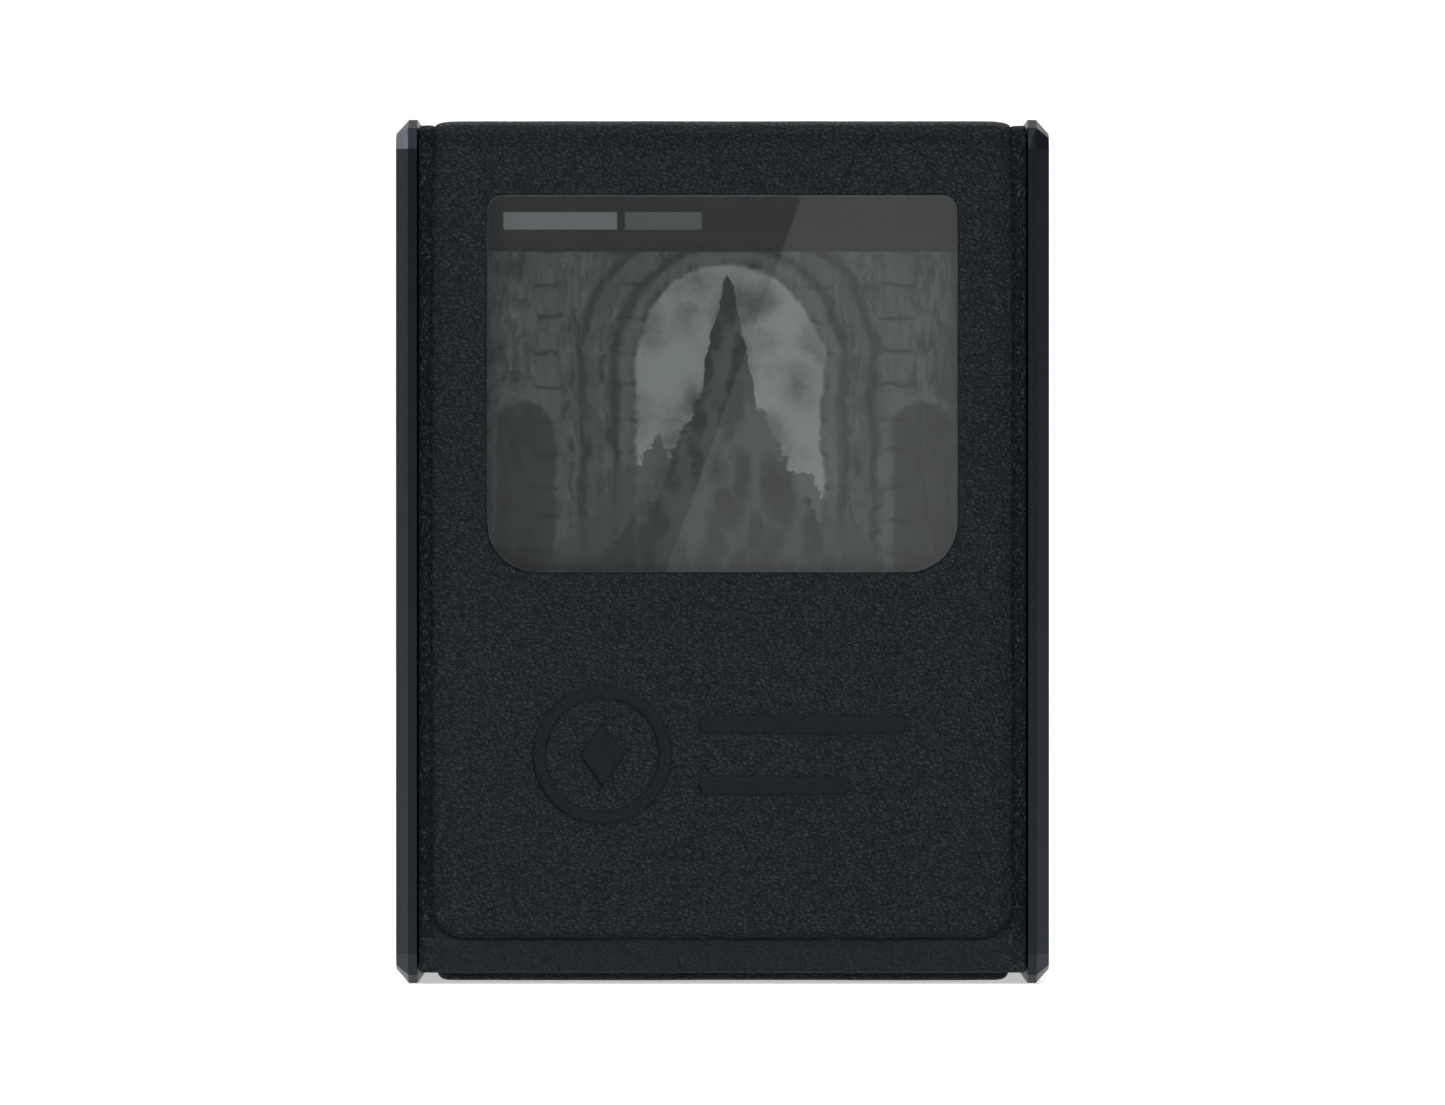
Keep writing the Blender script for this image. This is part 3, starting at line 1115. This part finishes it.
def studio():
    """A pale floor, a white backdrop and soft lights all round."""
    scene = bpy.context.scene
    scene.view_settings.view_transform = "Standard"
    world = bpy.data.worlds.new("world")
    world.use_nodes = True
    shade = world.node_tree.nodes["Background"].inputs
    shade[0].default_value, shade[1].default_value = (1.0, 1.0, 1.0, 1.0), 0.12
    scene.world = world
    floor = make_object("floor", [(-4, -4, 0), (4, -4, 0), (4, 4, 0), (-4, 4, 0)], [(0, 1, 2, 3)],
                        floor_material())
    backdrop = make_object("backdrop", [(-3, 3.2, 0), (3, 3.2, 0), (3, 3.2, 3), (-3, 3.2, 3)],
                           [(0, 1, 2, 3)], emission("backdrop", (1, 1, 1), 1.1))
    middle = (0, 0, (cad_low.z + cad_high.z) / 2)
    area_light("top_light", (-0.14, -0.42, 1.0), middle, (0.55, 0.4), 9.0)
    area_light("back_light", (0.1, 0.5, 1.1), middle, (0.7, 0.5), 0.9)
    area_light("left_light", (-1.3, -0.1, 0.35), middle, (0.9, 0.9), 0.52)
    area_light("right_light", (1.4, -0.15, 0.3), middle, (0.5, 0.7), 0.08)
    area_light("corner_light", (-1.11, 0.2, 0.6), middle, (0.42, 0.3), 8.8, (0.95, 0.98, 1.0))
    glare_light()


def glare_light():
    """A tall card behind the camera whose slanted edge the window mirrors."""
    tilt = math.radians(19.9)
    distance = 2.5
    width, height = 0.4, 0.7
    edge = (3.8 * MM, 116 * MM)                # a point on the slanted edge
    middle = (edge[0] + math.cos(tilt) * width / 2, edge[1] - math.sin(tilt) * width / 2)
    place = (middle[0], -distance, middle[1])
    lamp = area_light("glare_light", place, (0, 0, 0), (width, height), 0.37, (1.0, 1.0, 1.0))
    lamp.rotation_euler = (math.pi / 2, tilt, 0)


# ---- Building it ----

def put(piece, body, slot, *nodes):
    """Names the body a piece rides on, its material slot and the CAD nodes it replaces."""
    if body is not None:
        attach(piece, body)
    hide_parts(*nodes)
    return piece


# Widths of the CAD nodes' edge bevels, in millimetres
BEVELS = {"left_side_plate": 0.12, "right_side_plate": 0.12, "window_lens": 0.2,
          "front_wall_leather": 0.22, "left_wall_leather": 0.2, "right_wall_leather": 0.2,
          "wall_lining": 0.15, "wall_magnets": 0.2, "flap_magnets": 0.2, "pocket_spacer": 0.08,
          "flap_front_board": 0.08, "flap_back_board": 0.08, "display_card": 0.04,
          "left_plate_screws": 0.08, "right_plate_screws": 0.08}


def cad_materials():
    """Gives every CAD node its procedural material by the record's slots, and softens the edges
    of those that stay in sight."""
    slots = {row["node"]: row["material_slot"] for row in frame["record"]["subparts"]}
    for name, node in frame["nodes"].items():
        node.data.materials.clear()
        node.data.materials.append(MATERIALS[slots[name]])
        if name in BEVELS:
            weld = node.modifiers.new("weld", "WELD")
            weld.merge_threshold = 0.001 * MM
            bevel = node.modifiers.new("bevel", "BEVEL")
            bevel.width = BEVELS[name] * MM
            bevel.segments = 3
            bevel.limit_method = "ANGLE"
            bevel.angle_limit = math.radians(28)
            bevel.harden_normals = True


def cover_pieces():
    """The four leather panels, the rim over the back wall's edge and the two folds."""
    flap = put(flap_skin(), "flap", "leather", "flap_leather")
    lid = cover_strip("lid_leather_skin", FOLD_LENGTH, BACK_START, 0.8 * MM, lid_low.z)
    put(lid, "lid", "leather", "lid_leather")
    wall_end = BACK_END + FOLD_Z - back_low.z
    back = cover_strip("back_leather_skin", BACK_END, wall_end, 0.8 * MM)
    put(back, "box", "leather", "back_wall_leather")
    base = put(base_skin(), "box", "leather", "base_leather")
    rim_half = 37.5 * MM
    rim_thickness = 0.6 * MM
    rim_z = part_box("front_wall_leather")[1].z
    rim = cushion("back_rim_leather", (-rim_half, back_low.y + 0.02 * MM),
                  (rim_half, back_high.y - PAD_RISE - SKIN), 0.2 * MM, rim_thickness, 0.5 * MM, 0.0, 0.0,
                  lambda u, v, w: np.stack([u, v, rim_z - rim_thickness + w], 1), MATERIALS["leather"])
    put(rim, "box", "leather")
    fold_step = 0.24 * MM
    front = cover_strip("front_fold_skin", 0, FOLD_LENGTH, fold_step)
    rear = cover_strip("back_fold_skin", BACK_START, BACK_END, fold_step)
    front_cloth = fold_lining("front_fold_cloth", 0, FOLD_LENGTH)
    rear_cloth = fold_lining("back_fold_cloth", BACK_START, BACK_END)
    put(front, None, "leather", "front_hinge_leather")
    put(rear, None, "leather", "back_hinge_leather")
    put(front_cloth, None, "lining", "front_hinge_lining")
    put(rear_cloth, None, "lining", "back_hinge_lining")
    for piece in (front, front_cloth):
        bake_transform(piece)
    for piece in (rear, rear_cloth):
        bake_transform(piece)


def foam_pieces():
    inset = 0.85 * MM           # how far the foam stops short of a raised panel's outline
    corner = 3 * MM
    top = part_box("flap_foam")[1].z
    back_off = 0.4 * MM         # how far the foam stops short of the window
    rim = rect_rings(*WINDOW, [back_off, back_off + 0.6 * MM], 0.8 * MM)

    def off_window(x, z):
        return -window_inside(x, z) - back_off

    def on_flap(x, z, w):
        return cover(x, z - FOLD_Z, w)

    flap = foam_sheet("flap_foam_sheet", (-PAD_HALF + inset, PAD_LOW_Z + inset),
                      (PAD_HALF - inset, top), corner, lambda x, z: cover_lift(x, z - FOLD_Z),
                      on_flap, off_window, (rim,))
    put(flap, "flap", "foam", "flap_foam")
    half = PAD_HALF_TOP - inset
    lid = foam_sheet("lid_foam_sheet", (-half, FOLD_LENGTH), (half, BACK_START), 0.1 * MM,
                     cover_lift, cover)
    put(lid, "lid", "foam", "lid_foam")
    low_end = BACK_END + FOLD_Z - PAD_LOW_Z - inset
    back = foam_sheet("back_foam_sheet", (-half, BACK_END), (half, low_end), corner, cover_lift,
                      cover)
    put(back, "box", "foam", "back_foam")
    put(base_foam(), "box", "foam", "base_foam")


def lining_pieces():
    """The lid's cushion, lining and hems, the floor's cushion and the flap's lining."""
    low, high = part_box("lid_cushion")
    pad = cushion("lid_cushion_pad", (low.x, low.y), (high.x, high.y), 3 * MM, high.z - low.z,
                  1.9 * MM, 0.5 * MM, 0.5 * MM, lambda u, v, w: np.stack([u, v, high.z - w], 1),
                  MATERIALS["lining"])
    put(pad, "lid", "lining", "lid_cushion")
    low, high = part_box("floor_pad")
    floor = cushion("floor_pad_cushion", (low.x, low.y), (high.x, high.y), 0.6 * MM, high.z - low.z,
                    1.4 * MM, 0.3 * MM, 0.15 * MM, lambda u, v, w: np.stack([u, v, low.z + w], 1),
                    MATERIALS["lining"])
    put(floor, "box", "lining", "floor_pad")
    low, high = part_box("lid_lining")
    sheet = lining_sheet("lid_lining_cloth", (low.x, low.y), (high.x, high.y), high.z - low.z,
                         lambda u, v, w: np.stack([u, v, high.z - w], 1))
    put(sheet, "lid", "lining", "lid_lining")
    board_low, board_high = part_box("lid_board")
    covered = LINING + 0.02 * MM        # part of the hem that lies under the fold's lining
    for name, end in (("lid_hem_front", board_low.y), ("lid_hem_back", board_high.y)):
        out = math.copysign(1, end)
        strip = hem(name, (low.x, low.z + 0.05 * MM), (high.x, board_high.z),
                    lambda u, v, w: np.stack([u, end + out * w, v], 1), covered)
        put(strip, "lid", "lining")
    flap_lining()


def flap_lining():
    """Cloth on the back of the flap, cut round the pull notch, over the flap's magnets."""
    low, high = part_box("flap_lining")
    magnet_low, magnet_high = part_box("flap_magnets")
    magnet_r = (magnet_high.z - magnet_low.z) / 2
    magnet_x = magnet_high.x - magnet_r
    magnet_z = magnet_low.z + magnet_r
    notch_r = 12 * MM           # half circle cut out of the lower edge
    thickness = 0.4 * MM

    def off_notch(x, z):
        return np.hypot(x, z - low.z) - notch_r

    rings = [circle_rings((0, low.z), [notch_r + d * MM for d in (0, 0.06, 0.16, 0.35)], 0.6 * MM)]
    sheet = lining_sheet("flap_lining_cloth", (low.x, low.z), (high.x, high.z), thickness,
                         lambda u, v, w: np.stack([u, high.y - thickness + w, v], 1),
                         [(side * magnet_x, magnet_z, magnet_r) for side in (-1, 1)], off_notch, rings)
    put(sheet, "flap", "lining", "flap_lining")
    top = hem("flap_hem_top", (low.x, FOLD_LOW_Y), (high.x, high.y),
              lambda u, v, w: np.stack([u, v, high.z + w], 1))
    put(top, "flap", "lining")
    turned = 0.7 * MM
    for side in (-1, 1):
        ends = sorted((side * (notch_r + 0.1 * MM), side * high.x))
        name = "flap_hem_left" if side < 0 else "flap_hem_right"
        edge = cushion(name, (ends[0], low.y), (ends[1], high.y - thickness), 0.1 * MM, turned,
                       0.4 * MM, 0.0, 0.0, lambda u, v, w: np.stack([u, v, low.z + turned - w], 1),
                       MATERIALS["lining"])
        put(edge, "flap", "lining")


cad_materials()
cover_pieces()
foam_pieces()
lining_pieces()
studio()
camera()
